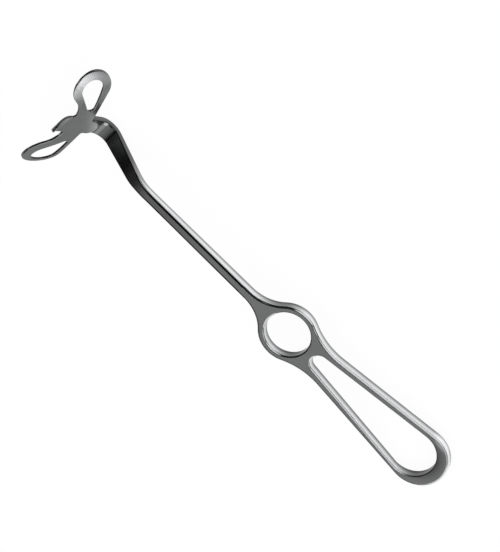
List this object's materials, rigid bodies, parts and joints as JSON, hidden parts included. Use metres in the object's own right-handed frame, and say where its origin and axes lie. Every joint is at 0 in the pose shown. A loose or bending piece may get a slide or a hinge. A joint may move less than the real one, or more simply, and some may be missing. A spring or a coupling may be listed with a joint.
{
  "type": "hand retractor",
  "caption": "Hook retractor with a finger ring and an open loop grip, a slim kinked shaft and a thin three-lobed blade with two windowed wings.",
  "frame": {"origin": "centre of the finger ring, at half the thickness of the grip", "axes": "+X along the shaft towards the blade, +Z along the finger ring's axis towards the side that the hook opens to, Y across the grip"},
  "size_m": [0.2479, 0.0644, 0.0335],
  "materials": {
    "satin_steel": "satin, matt blasted faces with polished edges",
    "braze": "silver braze, dressed smooth"
  },
  "bodies": {
    "root": {"grip": "satin_steel", "shaft_weld": "satin_steel", "shaft": "satin_steel", "blade": "satin_steel", "blade_braze": "braze"}
  },
  "joints": []
}
